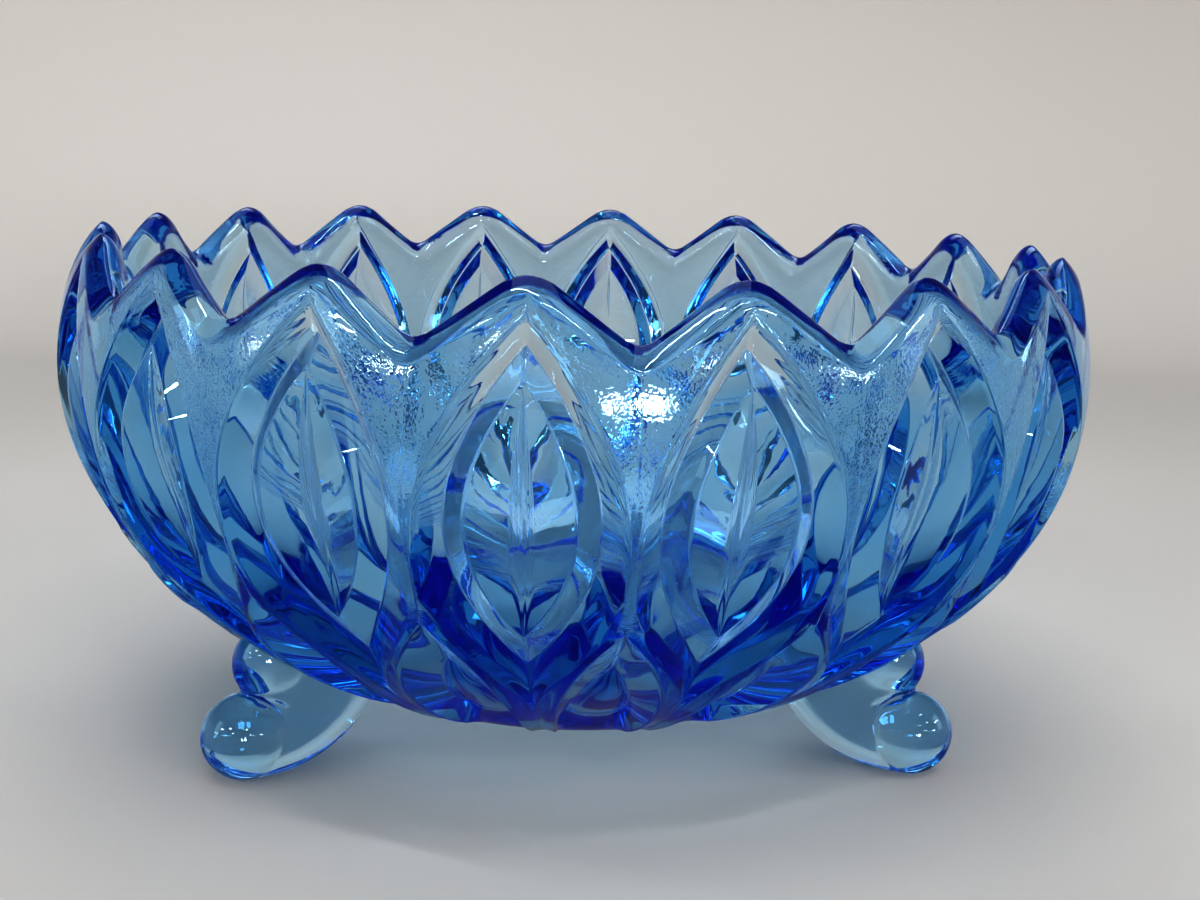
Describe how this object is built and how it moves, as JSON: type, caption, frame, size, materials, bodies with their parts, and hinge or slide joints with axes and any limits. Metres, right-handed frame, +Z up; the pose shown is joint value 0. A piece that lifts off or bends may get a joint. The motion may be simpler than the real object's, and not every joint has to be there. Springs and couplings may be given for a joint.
{
  "type": "footed glass bowl",
  "caption": "Round pressed-glass bowl with a scalloped rim, leaf panels around its outside and scroll feet, for fruit or display.",
  "frame": {"origin": "on the bowl's axis, at the level of the soles of its feet", "axes": "+Z up along the bowl's axis; one foot points along +Y, and the other two stand either side of -Y"},
  "size_m": [0.2078, 0.2096, 0.104],
  "materials": {
    "bowl_glass": "clear blue pressed glass, fire-polished gloss",
    "foot_glass": "clear blue pressed glass, fire-polished gloss"
  },
  "bodies": {
    "root": {"bowl_body": "bowl_glass", "scroll_foot_front_left": "foot_glass", "scroll_foot_front_right": "foot_glass", "scroll_foot_back": "foot_glass"}
  },
  "joints": []
}
